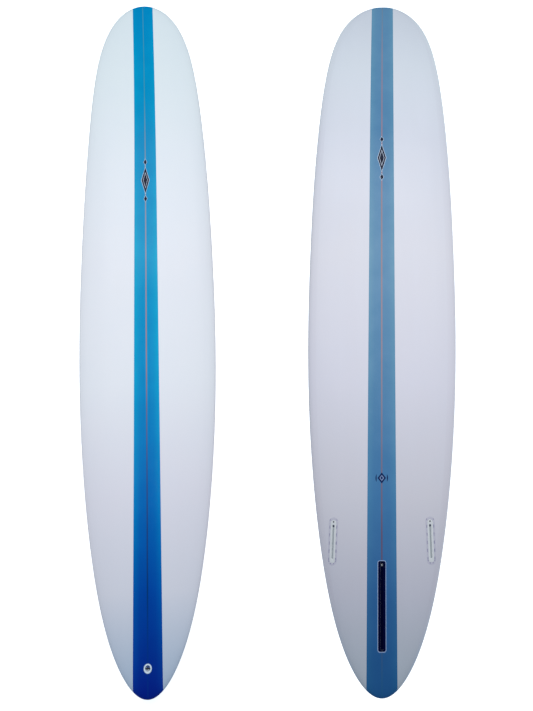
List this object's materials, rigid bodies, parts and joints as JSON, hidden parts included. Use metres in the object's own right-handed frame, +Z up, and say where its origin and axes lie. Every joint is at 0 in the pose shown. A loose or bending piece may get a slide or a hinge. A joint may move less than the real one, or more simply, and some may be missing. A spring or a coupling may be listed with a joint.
{
  "type": "surfboard",
  "caption": "Longboard surfboard with a rounded nose, narrow tail, centre stripe on both sides, long centre fin box, side fin boxes and a leash plug.",
  "frame": {"origin": "on the centreline at half length, on the plane the flat middle of the bottom rests on", "axes": "+Z up out of the deck, +Y towards the nose, +X across the board towards its right rail"},
  "size_m": [0.5708, 2.794, 0.1553],
  "materials": {
    "foam": "matte",
    "stringer_wood": "matte",
    "deck_glass": "gloss",
    "bottom_glass": "gloss",
    "patch_cloth": "satin",
    "deck_tint": "gloss",
    "bottom_tint": "gloss",
    "decal_paper": "satin",
    "clear_resin": "gloss",
    "box_plastic": "satin",
    "side_box_plastic": "satin",
    "plug_plastic": "gloss",
    "stainless": "satin"
  },
  "bodies": {
    "board": {"foam_blank_left": "foam", "foam_blank_right": "foam", "stringer": "stringer_wood", "deck_laminate": "deck_glass", "bottom_laminate": "bottom_glass", "deck_patch": "patch_cloth", "deck_stripe": "deck_tint", "bottom_stripe": "bottom_tint", "deck_decal": "decal_paper", "bottom_decal": "decal_paper", "tail_decal": "decal_paper", "leash_plug_cup": "plug_plastic", "leash_plug_pin": "stainless", "leash_plug_resin": "clear_resin", "center_fin_box": "box_plastic", "center_box_resin": "clear_resin", "left_side_fin_box": "side_box_plastic", "left_side_box_resin": "clear_resin", "right_side_fin_box": "side_box_plastic", "right_side_box_resin": "clear_resin"},
    "fin_plate": {"fin_plate": "stainless"},
    "fin_screw": {"fin_screw": "stainless"},
    "left_grub_screw": {"left_grub_screw": "stainless"},
    "right_grub_screw": {"right_grub_screw": "stainless"}
  },
  "joints": [
    {"name": "fin_plate_slide", "type": "slide", "parent": "board", "child": "fin_plate", "axis": [0, -0.9969, 0.0791], "range_m": [0, 0.242]},
    {"name": "fin_screw_turn", "type": "hinge", "parent": "fin_plate", "child": "fin_screw", "pos_m": [0, -1.0115, 0.02659], "axis": [0, -0.0791, -0.9969], "range_deg": [0, 1800]},
    {"name": "left_grub_screw_turn", "type": "hinge", "parent": "board", "child": "left_grub_screw", "pos_m": [-0.16625, -0.8768, 0.02125], "axis": [-0.1293, -0.0754, -0.9887], "range_deg": [0, 1800]},
    {"name": "right_grub_screw_turn", "type": "hinge", "parent": "board", "child": "right_grub_screw", "pos_m": [0.16625, -0.8768, 0.02125], "axis": [0.1293, -0.0754, -0.9887], "range_deg": [0, 1800]}
  ]
}
